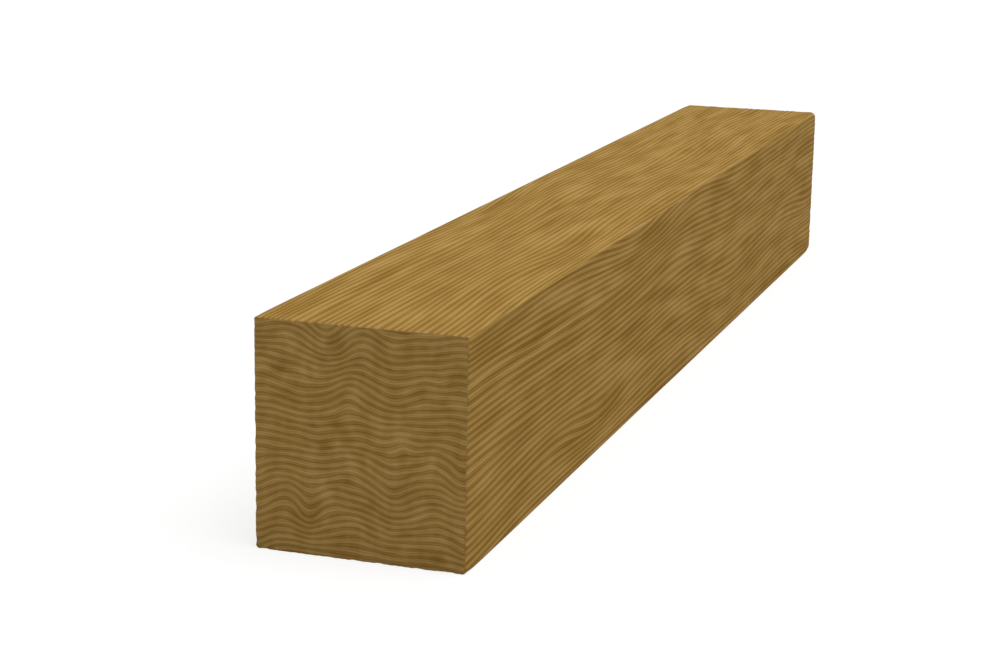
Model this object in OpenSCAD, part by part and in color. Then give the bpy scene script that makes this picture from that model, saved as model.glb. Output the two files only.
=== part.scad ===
// Squared timber beam: one length of sawn stock, lying on its underside.
// X runs along the length, Y across the width and Z up the depth.
// The origin is under the middle of the beam, on the surface that it lies on.

/* [Beam] */
// Length between the two cross-cut ends
beam_length = 1200; // [300:10:6000]
// Width of the section, between the upright sides
beam_width = 150; // [75:1:300]
// Depth of the section, from the underside to the top
beam_depth = 160; // [75:1:300]

/* [Edges] */
// Radius that eases the four long arrises
arris_radius = 1; // [0.5:0.5:15]
// Bevel that the saw and handling leave round each cross-cut end
end_bevel = 1; // [0.5:0.5:8]

/* [Hidden] */

// Facets of the rounded arrises when the model is drawn
$fn = 64;

half_length = beam_length / 2;
half_width = beam_width / 2;
half_depth = beam_depth / 2;

// How far a blank that trims the beam stands past the faces that it leaves whole
trim_overrun = beam_width / 2;

// The sawn section, centred on the origin, with each arris eased to a quarter round
module eased_section() {
    square([beam_width - 2 * arris_radius, beam_depth], center = true);
    square([beam_width, beam_depth - 2 * arris_radius], center = true);
    for (side = [-1, 1], level = [-1, 1])
        translate([side * (half_width - arris_radius), level * (half_depth - arris_radius)])
            circle(r = arris_radius);
}

// A lengthwise profile of a given height, with both cross-cut ends bevelled
module bevelled_profile(profile_height) {
    half_height = profile_height / 2;
    polygon([
        [-half_length + end_bevel, -half_height],
        [half_length - end_bevel, -half_height],
        [half_length, -half_height + end_bevel],
        [half_length, half_height - end_bevel],
        [half_length - end_bevel, half_height],
        [-half_length + end_bevel, half_height],
        [-half_length, half_height - end_bevel],
        [-half_length, -half_height + end_bevel]
    ]);
}

// The section run along X, past both ends
module section_blank() {
    rotate([90, 0, 90])
        linear_extrude(height = beam_length + 2 * trim_overrun, center = true)
            eased_section();
}

// What bevels the ends above and below: the side view, run across the width
module side_view_blank() {
    rotate([90, 0, 0])
        linear_extrude(height = beam_width + 2 * trim_overrun, center = true)
            bevelled_profile(beam_depth);
}

// What bevels the ends left and right: the plan, run up the depth
module plan_blank() {
    linear_extrude(height = beam_depth + 2 * trim_overrun, center = true)
        bevelled_profile(beam_width);
}

module timber_beam() {
    color("#9a773d")
        translate([0, 0, half_depth])
            intersection() {
                section_blank();
                side_view_blank();
                plan_blank();
            }
}

timber_beam();
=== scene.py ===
import math

import bpy
import numpy as np
from mathutils import Matrix, Vector


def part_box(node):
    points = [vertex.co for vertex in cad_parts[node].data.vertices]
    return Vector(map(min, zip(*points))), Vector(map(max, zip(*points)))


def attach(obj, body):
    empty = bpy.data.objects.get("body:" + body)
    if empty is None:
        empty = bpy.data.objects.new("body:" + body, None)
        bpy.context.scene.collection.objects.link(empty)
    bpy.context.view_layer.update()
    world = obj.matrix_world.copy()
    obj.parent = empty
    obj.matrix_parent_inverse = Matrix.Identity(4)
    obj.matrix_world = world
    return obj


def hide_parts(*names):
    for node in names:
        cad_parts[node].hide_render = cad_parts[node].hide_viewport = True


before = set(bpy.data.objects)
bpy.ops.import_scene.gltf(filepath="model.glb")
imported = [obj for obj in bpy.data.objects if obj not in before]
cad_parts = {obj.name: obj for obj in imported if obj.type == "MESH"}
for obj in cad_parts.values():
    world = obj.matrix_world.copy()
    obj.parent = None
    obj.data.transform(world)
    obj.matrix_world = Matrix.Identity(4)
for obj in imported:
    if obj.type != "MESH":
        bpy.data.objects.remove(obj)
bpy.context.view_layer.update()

# Sizes of the beam, in metres: X runs along it, Y across it and Z up it
MM = 0.001
beam_low, beam_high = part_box("timber_beam")
LENGTH, WIDTH, DEPTH = beam_high - beam_low
MIDDLE_X, MIDDLE_Y, MIDDLE_Z = (beam_low + beam_high) / 2
NEAR_X = beam_high.x
# Rounding of the long arrises, and the bevel round the cross-cut ends
ARRIS_RADIUS = 1 * MM
END_BEVEL = 0.5 * MM
# Handling has eased the arrises a little further: by how much, the share of it that is the same everywhere,
# and its waves along the beam, each with its count, its share and its shift from arris to arris
ARRIS_WEAR = 0.3 * MM
EVEN_WEAR_SHARE = 0.5
WEAR_WAVES = ((5, 0.3, 1), (13, 0.2, 2))
# What a knock adds to the radius at the near and far corner: left top, right top, right bottom, left bottom
CORNER_KNOCKS = np.array(((0.9, 1.8), (0.3, 4.6), (2.0, 3.8), (1.8, 1.5))) * MM
KNOCK_REACH = 12 * MM

# Cells of the mesh: across the width, down the depth, round half an arris, and along between the end steps
CELLS_ACROSS = 132
CELLS_DOWN = 140
ARC_CELLS = 3
CELLS_ALONG = 100
# Distances from a cross-cut end at which rows of the mesh stand, before the even rows begin
END_STEPS = np.array((0, 0.5, 1, 2, 4, 8, 14)) * MM
# How far half of an arris turns
HALF_ARRIS_TURN = math.pi / 4

# Relief: how far the soft wood has sunk below the hard lines of the rings
RAISED_GRAIN = 0.12 * MM
END_GRAIN_RELIEF = 0.12 * MM
# Finer relief that the material adds
FIBRE_BUMP = 0.05 * MM
# Width of the smooth margin beside an arris, where handling has rubbed the relief away
SMOOTH_MARGIN = 3 * MM
# Fibres that the saw tore off the edge of a cross-cut end: how deep, how far in, and the seed of the draw
TEAR_DEPTH = 0.6 * MM
TEAR_REACH = 1.5 * MM
TEAR_SEED = 11
# Depths drawn for splinters and for chips, as shares: mean and spread. A depth below 0 tears nothing
SPLINTER_DRAW = (0, 0.4)
CHIP_DRAW = (-0.2, 0.8)
# How deep a splinter is beside a chip, and how many cells wide a chip is
SPLINTER_SHARE = 0.6
CHIP_CELLS = 4
# Width of the painted shade along the lower arrises, next to the floor
LOW_ARRIS_SHADE_REACH = 1.5 * MM

# Layout of the surface on the square that its finish is stored on: a strip for each long face, and the two
# ends side by side above the strips
UV_MARGIN_SHARE = 0.004
LONG_STRIPS = 4
LONG_STRIP_SHARE = 0.19
END_COLUMN_SHARE = 0.5
# Places of the two finishes among the materials of the beam
LONG_GRAIN_INDEX = 0
END_GRAIN_INDEX = 1

# Growth rings that cross a face, the share of a ring that lies before its edge, and finer lines in a ring
RINGS = 30.5
RING_START = 0.81
FINE_LINES = 3.07
# How far a ring wavers from its place, in rings, and how far a finer line drifts, in finer lines
RING_WAVER = 0.38
FINE_DRIFT = 2
# How far a ring fades and strengthens along its way
RING_FADE = 0.9
# Strength of the streaks in the clouds beside that of the mottling
STREAK_STRENGTH = 0.9
# Noises drawn out along the grain: scale along a face, scale in rings, and how many finer layers each has
WAVER_NOISE = (8, 0.7, 1)
FADE_NOISE = (9, 0.9, 1)
DRIFT_NOISE = (5, 0.3, 1)
HAIR_NOISE = (40, 6, 2)
MOTTLE_NOISE = (16, 0.35, 1)
STREAK_NOISE = (9, 0.6, 2)
# How far along these noises a turned face lies, in lengths of the face
TURNED_SHIFT = 2
# Slope of the grain: rings by which the lines of a long face run ahead of the figure at the near and the
# far end of its first edge, and then of its last
TOP_RING_LEADS = ((-0.2, -1.6), (0.1, -0.6))
SIDE_RING_LEADS = ((0.3, -0.45), (0.15, -0.65))
NO_RING_LEADS = ((0, 0), (0, 0))
# Dips that make the rings wavy, as shares of a face: place along the grain, level across it, reach along,
# reach across, and how far the rings fall there
RING_DIPS = (
    (0.34, 0.03, 0.08, 0.14, 0.064),
    (0.52, 0.08, 0.07, 0.15, -0.034),
    (0.45, 0.28, 0.07, 0.11, -0.044),
    (0.51, 0.43, 0.06, 0.07, -0.010),
    (0.03, 0.17, 0.09, 0.09, -0.036),
    (0.15, 0.08, 0.08, 0.12, -0.020),
    (0.21, 0.21, 0.05, 0.05, -0.010),
    (0.97, 0.12, 0.10, 0.20, -0.030),
    (0.92, 0.38, 0.06, 0.10, -0.012),
    (0.66, 0.31, 0.08, 0.09, 0.024),
    (0.66, 0.06, 0.08, 0.12, 0.018),
    (0.24, 0.33, 0.09, 0.09, 0.022),
    (0.81, 0.22, 0.06, 0.08, -0.018),
    (0.84, 0.51, 0.06, 0.08, -0.022),
    (0.70, 0.46, 0.06, 0.06, -0.020),
    (0.98, 0.62, 0.07, 0.11, 0.050),
    (0.66, 0.71, 0.09, 0.16, 0.052),
    (0.46, 0.60, 0.08, 0.10, -0.028),
    (0.47, 0.86, 0.09, 0.09, -0.026),
    (0.00, 0.66, 0.05, 0.07, 0.022),
    (0.00, 0.88, 0.07, 0.17, 0.040),
    (0.15, 0.73, 0.07, 0.11, -0.024),
    (0.26, 0.82, 0.06, 0.12, 0.038),
    (1.00, 0.89, 0.06, 0.08, 0.028),
    (0.04, 0.46, 0.10, 0.10, -0.014),
    (0.30, 0.49, 0.06, 0.08, 0.014),
    (0.86, 0.78, 0.06, 0.10, -0.014),
    (0.22, 0.99, 0.14, 0.05, -0.020),
    (0.38, 0.72, 0.06, 0.07, -0.018),
    (0.00, 0.00, 0.05, 0.07, 0.014),
    (0.00, 1.00, 0.05, 0.06, 0.014),
    (0.22, 0.84, 0.13, 0.04, 0.011),
    (0.73, 0.78, 0.06, 0.04, 0.008),
    (0.41, 0.12, 0.04, 0.05, 0.010),
)
# Stains in the wood, in the same way, with the tone of each: dark below zero and pale above it
STAINS = (
    (0.12, 0.21, 0.04, 0.02, -1.0),
    (0.04, 0.20, 0.04, 0.03, 1.4),
    (0.18, 0.11, 0.03, 0.03, 0.9),
    (0.22, 0.21, 0.04, 0.03, 1.0),
    (0.40, 0.09, 0.03, 0.05, -1.1),
    (0.75, 0.20, 0.03, 0.03, 0.7),
    (0.15, 0.31, 0.03, 0.03, -0.9),
    (0.39, 0.42, 0.03, 0.03, -1.3),
    (0.40, 0.51, 0.02, 0.04, 1.0),
    (0.33, 0.52, 0.03, 0.03, -1.0),
    (0.52, 0.52, 0.04, 0.02, -0.8),
    (0.70, 0.45, 0.04, 0.04, 1.4),
    (0.84, 0.53, 0.02, 0.04, 0.9),
    (0.98, 0.57, 0.03, 0.04, -0.8),
    (0.46, 0.59, 0.03, 0.03, 0.8),
    (0.45, 0.66, 0.02, 0.02, -0.8),
    (0.67, 0.67, 0.03, 0.02, -0.9),
    (0.57, 0.74, 0.03, 0.03, -0.9),
    (0.34, 0.72, 0.04, 0.03, 1.0),
    (0.28, 0.78, 0.03, 0.02, -0.8),
    (0.20, 0.84, 0.04, 0.03, -0.8),
    (0.27, 0.84, 0.03, 0.03, -0.8),
    (0.87, 0.95, 0.02, 0.03, -0.8),
)

# Colours of the wood, as shown on a screen: dark late wood, heart and pale early wood
LONG_WOOD = ((136, 101, 39), (162, 127, 64), (188, 153, 89))
END_WOOD = ((137, 103, 45), (162, 128, 69), (187, 153, 94))
RUBBED_WOOD = (176, 146, 96)
# The two finishes: contrast of the rings, the finer lines and the clouds, and roughness
LONG_FINISH = {"ring_contrast": 0.335, "fine_contrast": 0.20, "cloud_contrast": 0.68, "roughness": 0.72}
END_FINISH = {"ring_contrast": 0.25, "fine_contrast": 0.16, "cloud_contrast": 0.48, "roughness": 0.8}
# Contrast of the hair lines and the stains, in both
HAIR_CONTRAST = 0.15
STAIN_CONTRAST = 0.3
# The tone of the heart, halfway from dark to pale
MIDDLE_TONE = 0.5
# How much darker the wood is at torn fibres, from dirt and painted shade in the tears, and under the
# painted shade along the lower arrises
TORN_DIRT_AND_SHADE_TONE = -0.5
LOW_ARRIS_SHADE_TONE = -0.5
# Rubbing on the edges: its amount, how steeply it falls off, and the scale, finer layers, contrast and base
# of the noise that makes it patchy
RUB_AMOUNT = 0.35
RUB_FALL_OFF = 3
RUB_NOISE_SCALE = 90
RUB_NOISE_LAYERS = 3
RUB_CONTRAST = 2.4
RUB_BASE = -0.6
# What pale lines and rubbing add to the roughness, and how glossy the wood is
LINE_ROUGHNESS = 0.2
RUB_ROUGHNESS = -0.12
GLOSS_LEVEL = 0.01

# Camera: it looks down the beam from its near right, turned a little about its own axis. Angles are in
# degrees, and the lens and the sensor in millimetres
CAMERA_AZIMUTH = 108.288
CAMERA_ELEVATION = 13.316
CAMERA_ROLL = 1.051
CAMERA_PLACE = Vector((1.8653, 0.5135, 0.4794))
CAMERA_LENS = 78.075
CAMERA_SENSOR = 36

# Light: strength of the even studio, then the way to the lamp, as long as the lamp is strong, and the angle
# in degrees over which the lamp spreads
STUDIO_LIGHT = 0.245
LAMP_TOWARDS = Vector((0.04, 0.19, 0.70))
LAMP_SPREAD = 50
# The floor: its half width, the share of light that it throws back, and the share and strength of the glow
# in what shows
FLOOR_HALF_WIDTH = 15
FLOOR_PALENESS = 0.75
FLOOR_GLOW_SHARE = 0.75
FLOOR_GLOW = 1.05


# The grain of the wood

def smooth_step(share):
    """Runs from 0 to 1 with no corner at either end."""
    share = np.clip(share, 0, 1)
    return share * share * (3 - 2 * share)


def soft_spots(along, across, spots):
    """Soft spots over a face, added up: each has its place, level, reach along, reach across and size."""
    return sum(
        size * np.exp(-((along - place) / reach) ** 2 - ((across - level) / spread) ** 2)
        for place, level, reach, spread, size in spots
    )


def ring_lead(along, across, leads):
    """Rings by which the lines of a face run ahead of the figure, spread evenly between its corners."""
    first_edge, last_edge = [near + (far - near) * along for near, far in leads]
    return first_edge + (last_edge - first_edge) * across


def grain_of_face(along, across, turned, leads):
    """The grain over one face: its vectors for the shader, and how high each point stands, from 0 to 1.

    A turned face is measured across from its other edge, and has finer lines and clouds of its own.
    """
    along, across = np.broadcast_arrays(along, across)
    if turned:
        across = 1 - across
    figure = RING_START + RINGS * (across - soft_spots(along, across, RING_DIPS))
    ring = figure + ring_lead(along, across, leads)
    height = (1 - np.sin(2 * np.pi * ring)) / 2
    stain = soft_spots(along, across, STAINS)
    grain = np.stack((along + TURNED_SHIFT * turned, ring, stain), axis=-1)
    return grain, height


def edge_nearness(distance):
    """1 on an arris, falling to 0 past the margin that handling has rubbed."""
    return 1 - smooth_step(distance / SMOOTH_MARGIN)


# The mesh of the beam

def row_distances():
    """Distance of each row of the mesh from the near end."""
    even_rows = np.linspace(END_STEPS[-1], LENGTH - END_STEPS[-1], CELLS_ALONG + 1)
    return np.concatenate((END_STEPS[:-1], even_rows, LENGTH - END_STEPS[-2::-1]))


def nearest_end(distances):
    """Distance of each row from the end that is nearer to it."""
    return np.minimum(distances, LENGTH - distances)


def worn_radii(distances):
    """Radius of each arris at each row, with its wear: left top, right top, right bottom, left bottom."""
    along = 2 * np.pi * distances / LENGTH
    near_end = np.exp(-(distances / KNOCK_REACH) ** 2)
    far_end = np.exp(-((LENGTH - distances) / KNOCK_REACH) ** 2)
    radii = []
    for arris, (near_knock, far_knock) in enumerate(CORNER_KNOCKS):
        waves = [share * np.sin(count * along + shift * arris) for count, share, shift in WEAR_WAVES]
        eased = sum(waves, EVEN_WEAR_SHARE)
        radii.append(ARRIS_RADIUS + ARRIS_WEAR * eased + near_knock * near_end + far_knock * far_end)
    return radii


def face_line(face_width, cells, first_radius, last_radius):
    """One face of the section in each row, from the middle of one arris to the middle of the next.

    Gives each point's place along the face, how far it falls below it, and how far its arris turns there.
    """
    step = np.arange(cells + 1)
    flat_steps = (ARC_CELLS, cells - ARC_CELLS)
    flat_share = np.interp(step, flat_steps, (0, 1))
    turn = np.interp(step, (0, *flat_steps, cells), (-1, 0, 0, 1)) * HALF_ARRIS_TURN
    first_radius = first_radius[:, np.newaxis]
    last_radius = last_radius[:, np.newaxis]
    radius = np.where(turn < 0, first_radius, last_radius)
    flat_start = first_radius - face_width / 2
    flat_width = face_width - first_radius - last_radius
    place = flat_start + flat_width * flat_share + radius * np.sin(turn)
    fall = radius * (1 - np.cos(turn))
    return place, fall, turn


class LongFace:
    """One of the four long faces: its rows of points and outward directions in the Y and Z plane."""

    def __init__(self, outward, forward, width, reach, cells, turned, leads, arrises):
        place, fall, turn = face_line(width, cells, *arrises)
        outward = np.array(outward)
        forward = np.array(forward)
        self.cells = cells
        self.turned = turned
        self.leads = leads
        self.share = (place + width / 2) / width
        self.edge_distance = width / 2 - np.abs(place)
        self.points = np.multiply.outer(place, forward) + np.multiply.outer(reach - fall, outward)
        self.points += (MIDDLE_Y, MIDDLE_Z)
        self.outward = np.outer(np.sin(turn), forward) + np.outer(np.cos(turn), outward)


def long_faces(radii):
    """Top, right side, underside and left side, in the order that they follow round the section."""
    left_top, right_top, right_bottom, left_bottom = radii
    level = (WIDTH, DEPTH / 2, CELLS_ACROSS)
    upright = (DEPTH, WIDTH / 2, CELLS_DOWN)
    top = LongFace((0, 1), (1, 0), *level, 0, TOP_RING_LEADS, (left_top, right_top))
    right = LongFace((1, 0), (0, -1), *upright, 0, SIDE_RING_LEADS, (right_top, right_bottom))
    underside = LongFace((0, -1), (-1, 0), *level, 1, TOP_RING_LEADS, (right_bottom, left_bottom))
    left = LongFace((-1, 0), (0, 1), *upright, 1, SIDE_RING_LEADS, (left_bottom, left_top))
    return top, right, underside, left


def torn_edge(count, random):
    """How far the saw tore each point back round the edge of one cross-cut end, as a share."""
    splinters = np.clip(random.normal(*SPLINTER_DRAW, count), 0, 1)
    chips = np.clip(random.normal(*CHIP_DRAW, count // CHIP_CELLS + 1), 0, 1)
    tear = np.clip(SPLINTER_SHARE * splinters + np.repeat(chips, CHIP_CELLS)[:count], 0, 1)
    return (2 * tear + np.roll(tear, 1) + np.roll(tear, -1)) / 4


def torn_shares(faces, distances):
    """How far each point of the long surface is torn back, from 0 to 1.

    Each row closes round the section, so its last point is its first.
    """
    random = np.random.default_rng(TEAR_SEED)
    count = sum(face.cells for face in faces)
    near = torn_edge(count, random)
    far = torn_edge(count, random)
    distances = distances[:, np.newaxis]
    tear = np.where(distances < LENGTH / 2, near, far)
    tear = tear * np.exp(-(nearest_end(distances) / TEAR_REACH) ** 2)
    nearness = [edge_nearness(face.edge_distance[:, :-1]) for face in faces]
    tear = tear * np.square(1 - np.concatenate(nearness, axis=1))
    return np.concatenate((tear, tear[:, :1]), axis=1)


def face_relief(face, along):
    """How far the points of a long face have sunk below it."""
    height = grain_of_face(along[:, np.newaxis], face.share, face.turned, face.leads)[1]
    return RAISED_GRAIN * (1 - height) * (1 - edge_nearness(face.edge_distance))


def shell_points(faces, distances, torn):
    """The long surface of the beam: one row of points round the section at each distance."""
    points = np.concatenate([face.points[:, :-1] for face in faces], axis=1)
    outward = np.concatenate([face.outward[:-1] for face in faces])
    relief = [face_relief(face, distances / LENGTH)[:, :-1] for face in faces]
    bevel = np.maximum(END_BEVEL - nearest_end(distances), 0)
    sunk = np.concatenate(relief, axis=1) + bevel[:, np.newaxis] + TEAR_DEPTH * torn[:, :-1]
    section = points - sunk[:, :, np.newaxis] * outward
    x = np.broadcast_to((NEAR_X - distances)[:, np.newaxis, np.newaxis], section.shape[:2] + (1,))
    return np.concatenate((x, section), axis=2)


def rim_sides(rim):
    """The values of a closed rim as the sides of the grid that fills it: top, right, bottom and left."""
    corners = np.cumsum((0, CELLS_ACROSS, CELLS_DOWN, CELLS_ACROSS, CELLS_DOWN))
    sides = [rim[first:last + 1] for first, last in zip(corners[:-1], corners[1:])]
    top, right, bottom, left = sides
    return top, right, bottom[::-1], left[::-1]


def end_points(rim_points):
    """A grid of points over a cross-cut end, spread in the Y and Z plane between the sides of its rim."""
    top, right, bottom, left = rim_sides(rim_points)
    across = np.linspace(0, 1, CELLS_ACROSS + 1)[np.newaxis, :, np.newaxis]
    down = np.linspace(0, 1, CELLS_DOWN + 1)[:, np.newaxis, np.newaxis]
    between_sides = (1 - across) * left[:, np.newaxis] + across * right[:, np.newaxis]
    between_edges = (1 - down) * top[np.newaxis] + down * bottom[np.newaxis]
    upper = (1 - across) * top[0] + across * top[-1]
    lower = (1 - across) * bottom[0] + across * bottom[-1]
    return between_sides + between_edges - (1 - down) * upper - down * lower


def end_shares(points):
    """Place of each point of an end across the width and down the depth, as shares."""
    across = (points[..., 0] - beam_low.y) / WIDTH
    down = (beam_high.z - points[..., 1]) / DEPTH
    return across, down


def end_edge_distance(across, down):
    """Distance of each point of an end from its nearest edge."""
    from_side = WIDTH * np.minimum(across, 1 - across)
    from_top = DEPTH * np.minimum(down, 1 - down)
    return np.minimum(from_side, from_top)


def cell_corners(grid):
    """The four corners of each cell of a grid: along its first side, across, and back."""
    corners = (grid[:-1, :-1], grid[:-1, 1:], grid[1:, 1:], grid[1:, :-1])
    cells = np.stack(corners, axis=2)
    return cells.reshape((-1, len(corners)) + grid.shape[2:])


class MeshParts:
    """Collects the points, faces and corner values of the mesh as it is put together."""

    def __init__(self):
        self.points = []
        self.count = 0
        self.faces = []
        self.grain = []
        self.edges = []
        self.uv = []
        self.material = []

    def add_points(self, points):
        """Adds points, and gives their ids."""
        points = points.reshape(-1, 3)
        first = self.count
        self.points.append(points)
        self.count += len(points)
        return np.arange(first, self.count)

    def points_at(self, ids):
        """The points that have these ids."""
        return np.concatenate(self.points)[ids]

    def add_faces(self, ids, grain, edges, uv, material, flipped=False):
        """Adds a face for each cell of a grid of ids, with the values at its corners."""
        order = [3, 2, 1, 0] if flipped else [0, 1, 2, 3]
        faces = cell_corners(ids)[:, order]
        self.faces.append(faces)
        self.grain.append(cell_corners(grain)[:, order])
        self.edges.append(cell_corners(edges)[:, order])
        self.uv.append(cell_corners(uv)[:, order])
        self.material.append(np.full(len(faces), material))


def strip_uv(row, along, across):
    """Place on the square of a long face, laid out as a strip over its whole width."""
    u = UV_MARGIN_SHARE + along * (1 - 2 * UV_MARGIN_SHARE)
    v = row * LONG_STRIP_SHARE + UV_MARGIN_SHARE + across * (LONG_STRIP_SHARE - 2 * UV_MARGIN_SHARE)
    return np.stack(np.broadcast_arrays(u, v), axis=-1)


def end_uv(column, across, down):
    """Place on the square of a cross-cut end, turned so that its rings get the finer spacing."""
    low_v = LONG_STRIPS * LONG_STRIP_SHARE + UV_MARGIN_SHARE
    u = column * END_COLUMN_SHARE + UV_MARGIN_SHARE + down * (END_COLUMN_SHARE - 2 * UV_MARGIN_SHARE)
    v = low_v + across * (1 - UV_MARGIN_SHARE - low_v)
    return np.stack((u, v), axis=-1)


def edge_values(edge_distance, height, torn):
    """The second set of corner values: nearness to an edge, how far the fibres are torn, and painted shade
    along the lower arrises.
    """
    edge_distance, height, torn = np.broadcast_arrays(edge_distance, height, torn)
    # Painted shade: darker where an arris lies close to the floor
    low_arris_shade = np.exp(-(np.maximum(edge_distance, height) / LOW_ARRIS_SHADE_REACH) ** 2)
    return np.stack((edge_nearness(edge_distance), torn, low_arris_shade), axis=-1)


def add_long_faces(parts, faces, distances, torn):
    """Adds the long surface, and gives the ids of the points round each end."""
    shell = shell_points(faces, distances, torn)
    ids = parts.add_points(shell).reshape(shell.shape[:2])
    closed = np.concatenate((ids, ids[:, :1]), axis=1)
    along = (distances / LENGTH)[:, np.newaxis]
    from_end = nearest_end(distances)[:, np.newaxis]
    first = 0
    for row, face in enumerate(faces):
        grain = grain_of_face(along, face.share, face.turned, face.leads)[0]
        columns = slice(first, first + face.cells + 1)
        height = face.points[..., 1] - beam_low.z
        edges = edge_values(np.minimum(face.edge_distance, from_end), height, torn[:, columns])
        uv = strip_uv(row, along, face.share)
        parts.add_faces(closed[:, columns], grain, edges, uv, LONG_GRAIN_INDEX)
        first += face.cells
    return closed[0], closed[-1]


def lay_rim(grid, rim):
    """Lays the values of a closed rim along the four sides of the grid that fills it."""
    grid[0, :], grid[:, -1], grid[-1, :], grid[:, 0] = rim_sides(rim)


def add_end(parts, rim, torn_rim, column, outward):
    """Adds one cross-cut end, in from the rim that it shares with the long surface."""
    turned = int(outward < 0)
    section = end_points(parts.points_at(rim)[:, 1:])
    across, down = end_shares(section)
    grain, height = grain_of_face(across, down, turned, NO_RING_LEADS)
    edge_distance = end_edge_distance(across, down)
    sunk = END_GRAIN_RELIEF * (1 - height) * (1 - edge_nearness(edge_distance))
    x = MIDDLE_X + outward * (LENGTH / 2 - sunk)
    points = np.concatenate((x[..., np.newaxis], section), axis=2)
    ids = np.zeros(across.shape, int)
    lay_rim(ids, rim)
    ids[1:-1, 1:-1] = parts.add_points(points[1:-1, 1:-1]).reshape(CELLS_DOWN - 1, CELLS_ACROSS - 1)
    torn = np.zeros(across.shape)
    lay_rim(torn, torn_rim)
    edges = edge_values(edge_distance, section[..., 1] - beam_low.z, torn)
    uv = end_uv(column, across, down)
    parts.add_faces(ids, grain, edges, uv, END_GRAIN_INDEX, flipped=outward > 0)


def store_corner_vectors(mesh, name, values):
    """Stores a vector at each corner of the mesh, for the shader to read."""
    stored = mesh.attributes.new(name, "FLOAT_VECTOR", "CORNER")
    stored.data.foreach_set("vector", values.ravel().astype(np.float32))


def mark_rims(mesh, rims):
    """Marks the edges round the cross-cut ends as sharp."""
    on_rim = np.zeros(len(mesh.vertices), int)
    for mark, rim in enumerate(rims, start=1):
        on_rim[rim] = mark
    ends = np.zeros(2 * len(mesh.edges), int)
    mesh.edges.foreach_get("vertices", ends)
    marks = on_rim[ends.reshape(-1, 2)]
    sharp = (marks[:, 0] > 0) & (marks[:, 0] == marks[:, 1])
    stored = mesh.attributes.new("sharp_edge", "BOOLEAN", "EDGE")
    stored.data.foreach_set("value", sharp)


def joined_mesh(parts, rims):
    """What has been collected, as one mesh with its corner values, its layout and its sharp rims."""
    mesh = bpy.data.meshes.new("sawn_timber")
    points = np.concatenate(parts.points)
    mesh.from_pydata(points.tolist(), [], np.concatenate(parts.faces).tolist(), shade_flat=False)
    mesh.polygons.foreach_set("material_index", np.concatenate(parts.material))
    store_corner_vectors(mesh, "grain", np.concatenate(parts.grain))
    store_corner_vectors(mesh, "edges", np.concatenate(parts.edges))
    layout = mesh.uv_layers.new(name="OFBake")
    layout.data.foreach_set("uv", np.concatenate(parts.uv).ravel().astype(np.float32))
    mark_rims(mesh, rims)
    mesh.update()
    return mesh


def build_beam():
    """The beam as one closed mesh, with its raised grain and torn edges."""
    distances = row_distances()
    faces = long_faces(worn_radii(distances))
    torn = torn_shares(faces, distances)
    parts = MeshParts()
    near_rim, far_rim = add_long_faces(parts, faces, distances, torn)
    add_end(parts, near_rim, torn[0], column=0, outward=1)
    add_end(parts, far_rim, torn[-1], column=1, outward=-1)
    beam = bpy.data.objects.new("sawn_timber", joined_mesh(parts, (near_rim, far_rim)))
    bpy.context.collection.objects.link(beam)
    return beam


# Shader nodes

def screen_colour(levels):
    """A colour given as it shows on a screen, turned by the screen's curve into what the shader takes."""
    shares = [level / 255 for level in levels]
    linear = [s / 12.92 if s <= 0.04045 else ((s + 0.055) / 1.055) ** 2.4 for s in shares]
    return (*linear, 1)


def new_node(tree, kind, **settings):
    """Adds a node to a tree, with its settings."""
    node = tree.nodes.new(kind)
    for name, value in settings.items():
        setattr(node, name, value)
    return node


def feed(tree, socket, source):
    """Links a socket to another node's output, or sets it to a plain value."""
    if isinstance(source, bpy.types.NodeSocket):
        tree.links.new(source, socket)
    else:
        socket.default_value = source


def maths(tree, operation, *sources):
    """The result of a sum on one to three values."""
    node = new_node(tree, "ShaderNodeMath", operation=operation)
    for socket, source in zip(node.inputs, sources):
        feed(tree, socket, source)
    return node.outputs["Value"]


def blended(tree, share, first, second):
    """A value that goes from the first to the second as the share goes from 0 to 1."""
    node = new_node(tree, "ShaderNodeMix", data_type="FLOAT", clamp_factor=True)
    feed(tree, node.inputs["Factor"], share)
    feed(tree, node.inputs["A"], first)
    feed(tree, node.inputs["B"], second)
    return node.outputs["Result"]


def mixed_colour(tree, share, first, second):
    """A colour that goes from the first to the second as the share goes from 0 to 1."""
    node = new_node(tree, "ShaderNodeMix", data_type="RGBA", clamp_factor=True)
    feed(tree, node.inputs["Factor"], share)
    colours = [socket for socket in node.inputs if socket.type == "RGBA"]
    feed(tree, colours[0], first)
    feed(tree, colours[1], second)
    return [socket for socket in node.outputs if socket.type == "RGBA"][0]


def noise_layers(tree, place, scale, layers, **settings):
    """Noise from about 0 to 1, with a number of finer layers."""
    noise = new_node(tree, "ShaderNodeTexNoise", **settings)
    feed(tree, noise.inputs["Vector"], place)
    noise.inputs["Scale"].default_value = scale
    noise.inputs["Detail"].default_value = layers
    return noise.outputs["Fac"]


def grain_noise(tree, along, ring, scales):
    """Noise that is drawn out along the grain, from about -0.5 to 0.5."""
    along_scale, ring_scale, layers = scales
    place = new_node(tree, "ShaderNodeCombineXYZ")
    feed(tree, place.inputs["X"], maths(tree, "MULTIPLY", along, along_scale))
    feed(tree, place.inputs["Y"], maths(tree, "MULTIPLY", ring, ring_scale))
    noise = noise_layers(tree, place.outputs["Vector"], scale=1, layers=layers, noise_dimensions="2D")
    return maths(tree, "SUBTRACT", noise, 0.5)


def start_group(name, inputs, outputs):
    """A new node group with value sockets: its tree, what it is given and what it puts out."""
    tree = bpy.data.node_groups.new(name, "ShaderNodeTree")
    for label in inputs:
        tree.interface.new_socket(label, in_out="INPUT", socket_type="NodeSocketFloat")
    for label in outputs:
        tree.interface.new_socket(label, in_out="OUTPUT", socket_type="NodeSocketFloat")
    given = new_node(tree, "NodeGroupInput").outputs
    put_out = new_node(tree, "NodeGroupOutput").inputs
    return tree, given, put_out


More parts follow.
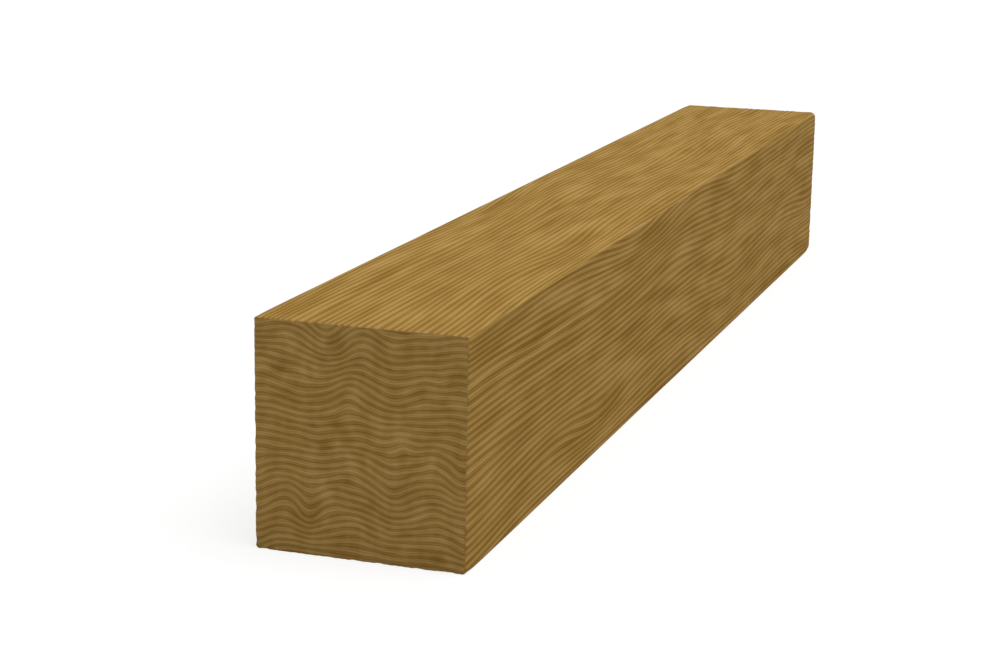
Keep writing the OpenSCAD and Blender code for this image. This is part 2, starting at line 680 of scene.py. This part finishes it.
def sine_of_turns(tree, turns):
    """The sine of a number of whole turns."""
    return maths(tree, "SINE", maths(tree, "MULTIPLY", turns, 2 * math.pi))


def ring_lines_group():
    """Growth rings: a dark late line and a paler early band in each ring, with finer lines among them."""
    tree, given, put_out = start_group(
        "ring_lines",
        ("Along", "Ring", "Ring Contrast", "Fine Contrast", "Hair Contrast"),
        ("Tone",),
    )
    along = given["Along"]
    ring = given["Ring"]
    waver = grain_noise(tree, along, ring, WAVER_NOISE)
    place = maths(tree, "MULTIPLY_ADD", waver, RING_WAVER, ring)
    fading = grain_noise(tree, along, ring, FADE_NOISE)
    strength = maths(tree, "MULTIPLY_ADD", fading, RING_FADE, 1)
    main = maths(tree, "MULTIPLY", sine_of_turns(tree, place), strength)
    main = maths(tree, "MULTIPLY", main, given["Ring Contrast"])
    drift = maths(tree, "MULTIPLY", grain_noise(tree, along, ring, DRIFT_NOISE), FINE_DRIFT)
    fine = sine_of_turns(tree, maths(tree, "MULTIPLY_ADD", place, FINE_LINES, drift))
    hair = grain_noise(tree, along, ring, HAIR_NOISE)
    tone = maths(tree, "MULTIPLY_ADD", fine, given["Fine Contrast"], main)
    tone = maths(tree, "MULTIPLY_ADD", hair, given["Hair Contrast"], tone)
    feed(tree, put_out["Tone"], tone)
    return tree


def stain_group():
    """Changes of tone over the wood: mottling, streaks along the grain and the single stains."""
    tree, given, put_out = start_group(
        "wood_stain",
        ("Along", "Ring", "Stain", "Cloud Contrast", "Stain Contrast"),
        ("Tone",),
    )
    mottle = grain_noise(tree, given["Along"], given["Ring"], MOTTLE_NOISE)
    streaks = grain_noise(tree, given["Along"], given["Ring"], STREAK_NOISE)
    cloud = maths(tree, "MULTIPLY_ADD", streaks, STREAK_STRENGTH, mottle)
    tone = maths(tree, "MULTIPLY", cloud, given["Cloud Contrast"])
    tone = maths(tree, "MULTIPLY_ADD", given["Stain"], given["Stain Contrast"], tone)
    feed(tree, put_out["Tone"], tone)
    return tree


def arris_wear_group():
    """Wear along the arrises: patchy, and strongest on the edge itself."""
    tree, given, put_out = start_group("arris_wear", ("Nearness", "Amount"), ("Wear",))
    place = new_node(tree, "ShaderNodeTexCoord").outputs["Object"]
    noise = noise_layers(tree, place, RUB_NOISE_SCALE, RUB_NOISE_LAYERS)
    patchy = maths(tree, "MULTIPLY_ADD", noise, RUB_CONTRAST, RUB_BASE)
    edge = maths(tree, "POWER", given["Nearness"], RUB_FALL_OFF)
    worn = maths(tree, "MULTIPLY", maths(tree, "MULTIPLY", edge, patchy), given["Amount"])
    node = new_node(tree, "ShaderNodeClamp")
    feed(tree, node.inputs["Value"], worn)
    feed(tree, put_out["Wear"], node.outputs["Result"])
    return tree


def place_group(tree, group, **values):
    """Places a group in a material, with underscores for the spaces in its sockets' names."""
    node = new_node(tree, "ShaderNodeGroup", node_tree=group)
    for name, value in values.items():
        feed(tree, node.inputs[name.replace("_", " ")], value)
    return node.outputs


def corner_vector(tree, name):
    """The three values that the mesh stores at its corners under a name."""
    stored = new_node(tree, "ShaderNodeAttribute", attribute_type="GEOMETRY", attribute_name=name)
    apart = new_node(tree, "ShaderNodeSeparateXYZ")
    feed(tree, apart.inputs["Vector"], stored.outputs["Vector"])
    return apart.outputs["X"], apart.outputs["Y"], apart.outputs["Z"]


def wood_ramp(tree, tone, colours):
    """The colour of the wood at a tone, from the dark late wood to the pale early wood."""
    late_wood, heart_wood, early_wood = colours
    ramp = new_node(tree, "ShaderNodeValToRGB")
    feed(tree, ramp.inputs["Fac"], tone)
    stops = ramp.color_ramp.elements
    stops[0].color = screen_colour(late_wood)
    stops[1].color = screen_colour(early_wood)
    middle = stops.new(MIDDLE_TONE)
    middle.color = screen_colour(heart_wood)
    return ramp.outputs["Color"]


def fibre_bump(tree, lines):
    """Fine relief, in which the dark lines stand above the pale ones."""
    bump = new_node(tree, "ShaderNodeBump")
    bump.inputs["Strength"].default_value = 1
    bump.inputs["Distance"].default_value = FIBRE_BUMP
    feed(tree, bump.inputs["Height"], maths(tree, "SUBTRACT", MIDDLE_TONE, lines))
    return bump.outputs["Normal"]


def wood_material(name, groups, colours, ring_contrast, fine_contrast, cloud_contrast, roughness):
    """Sawn wood: growth rings, stains, rubbed arrises, torn fibres darkened by dirt and painted shade, and
    painted shade along the lower arrises, with the same rings in its gloss and relief.
    """
    ring_lines, wood_stain, arris_wear = groups
    material = bpy.data.materials.new(name)
    material.use_nodes = True
    tree = material.node_tree
    shader = tree.nodes["Principled BSDF"]
    along, ring, stain = corner_vector(tree, "grain")
    # The third edge value is painted shade along the lower arrises
    nearness, torn, low_arris_shade = corner_vector(tree, "edges")

    lines = place_group(
        tree, ring_lines, Along=along, Ring=ring,
        Ring_Contrast=ring_contrast, Fine_Contrast=fine_contrast, Hair_Contrast=HAIR_CONTRAST,
    )["Tone"]
    stained = place_group(
        tree, wood_stain, Along=along, Ring=ring, Stain=stain,
        Cloud_Contrast=cloud_contrast, Stain_Contrast=STAIN_CONTRAST,
    )["Tone"]
    worn = place_group(tree, arris_wear, Nearness=nearness, Amount=RUB_AMOUNT)["Wear"]

    tone = maths(tree, "ADD", maths(tree, "ADD", lines, stained), MIDDLE_TONE)
    # Torn fibres are darker: dirt, and painted shade in their tears
    tone = maths(tree, "MULTIPLY_ADD", torn, TORN_DIRT_AND_SHADE_TONE, tone)
    # Painted shade along the lower arrises, next to the floor
    tone = maths(tree, "MULTIPLY_ADD", low_arris_shade, LOW_ARRIS_SHADE_TONE, tone)
    wood = wood_ramp(tree, tone, colours)
    feed(tree, shader.inputs["Base Color"], mixed_colour(tree, worn, wood, screen_colour(RUBBED_WOOD)))
    dry = maths(tree, "MULTIPLY_ADD", lines, LINE_ROUGHNESS, roughness)
    feed(tree, shader.inputs["Roughness"], maths(tree, "MULTIPLY_ADD", worn, RUB_ROUGHNESS, dry))
    feed(tree, shader.inputs["Normal"], fibre_bump(tree, lines))
    shader.inputs["Specular IOR Level"].default_value = GLOSS_LEVEL
    return material


def finish_beam(beam):
    """Gives the beam its two finishes: along the grain, and across it on the ends."""
    groups = (ring_lines_group(), stain_group(), arris_wear_group())
    beam.data.materials.append(wood_material("long_grain", groups, LONG_WOOD, **LONG_FINISH))
    beam.data.materials.append(wood_material("end_grain", groups, END_WOOD, **END_FINISH))


# The studio

def shown_to_eye(tree):
    """1 for rays that show the surface itself, directly or in gloss or glass."""
    path = new_node(tree, "ShaderNodeLightPath").outputs
    shown = maths(tree, "MAXIMUM", path["Is Camera Ray"], path["Is Glossy Ray"])
    return maths(tree, "MAXIMUM", shown, path["Is Transmission Ray"])


def paper_material():
    """Pale paper that glows a little where it shows, and throws back less light than it shows."""
    material = bpy.data.materials.new("floor_paper")
    material.use_nodes = True
    tree = material.node_tree
    tree.nodes.clear()
    shown = shown_to_eye(tree)
    paper = new_node(tree, "ShaderNodeBsdfDiffuse")
    feed(tree, paper.inputs["Color"], blended(tree, shown, FLOOR_PALENESS, 1))
    glow = new_node(tree, "ShaderNodeEmission")
    glow.inputs["Strength"].default_value = FLOOR_GLOW
    mix = new_node(tree, "ShaderNodeMixShader")
    feed(tree, mix.inputs[0], maths(tree, "MULTIPLY", shown, FLOOR_GLOW_SHARE))
    feed(tree, mix.inputs[1], paper.outputs["BSDF"])
    feed(tree, mix.inputs[2], glow.outputs["Emission"])
    output = new_node(tree, "ShaderNodeOutputMaterial")
    feed(tree, output.inputs["Surface"], mix.outputs["Shader"])
    return material


def build_floor():
    """A wide pale floor. It shows as white, and keeps the shadow of the beam."""
    half = FLOOR_HALF_WIDTH
    corners = [(-half, -half), (half, -half), (half, half), (-half, half)]
    mesh = bpy.data.meshes.new("floor")
    mesh.from_pydata([(x, y, beam_low.z) for x, y in corners], [], [(0, 1, 2, 3)])
    mesh.materials.append(paper_material())
    floor = bpy.data.objects.new("floor", mesh)
    bpy.context.collection.objects.link(floor)


def build_world():
    """An even white studio, dimmer as a light than as it shows."""
    world = bpy.data.worlds.new("studio")
    bpy.context.scene.world = world
    world.use_nodes = True
    tree = world.node_tree
    background = tree.nodes["Background"]
    background.inputs["Color"].default_value = (1, 1, 1, 1)
    strength = blended(tree, shown_to_eye(tree), STUDIO_LIGHT, 1)
    feed(tree, background.inputs["Strength"], strength)


def build_lamp():
    """One wide, soft lamp overhead, a little to the right of the beam."""
    light = bpy.data.lights.new("overhead_lamp", "SUN")
    light.energy = math.pi * LAMP_TOWARDS.length
    light.angle = math.radians(LAMP_SPREAD)
    lamp = bpy.data.objects.new("overhead_lamp", light)
    lamp.rotation_mode = "QUATERNION"
    lamp.rotation_quaternion = LAMP_TOWARDS.to_track_quat("Z", "Y")
    bpy.context.collection.objects.link(lamp)


def build_camera():
    """The camera, at its place and turned by its azimuth, its elevation and its roll."""
    azimuth = math.radians(CAMERA_AZIMUTH)
    elevation = math.radians(CAMERA_ELEVATION)
    ahead = Vector((
        -math.sin(azimuth) * math.cos(elevation),
        math.cos(azimuth) * math.cos(elevation),
        -math.sin(elevation),
    ))
    level = Vector((math.cos(azimuth), math.sin(azimuth), 0))
    right = Matrix.Rotation(-math.radians(CAMERA_ROLL), 3, ahead) @ level
    up = right.cross(ahead)
    data = bpy.data.cameras.new("camera")
    data.sensor_width = CAMERA_SENSOR
    data.lens = CAMERA_LENS
    camera = bpy.data.objects.new("camera", data)
    turned = Matrix((right, up, -ahead)).transposed()
    camera.matrix_world = Matrix.Translation(CAMERA_PLACE) @ turned.to_4x4()
    bpy.context.collection.objects.link(camera)
    bpy.context.scene.camera = camera


build_camera()
sawn_timber = build_beam()
finish_beam(sawn_timber)
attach(sawn_timber, "root")
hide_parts("timber_beam")
build_floor()
build_world()
build_lamp()
bpy.context.scene.view_settings.view_transform = "Standard"
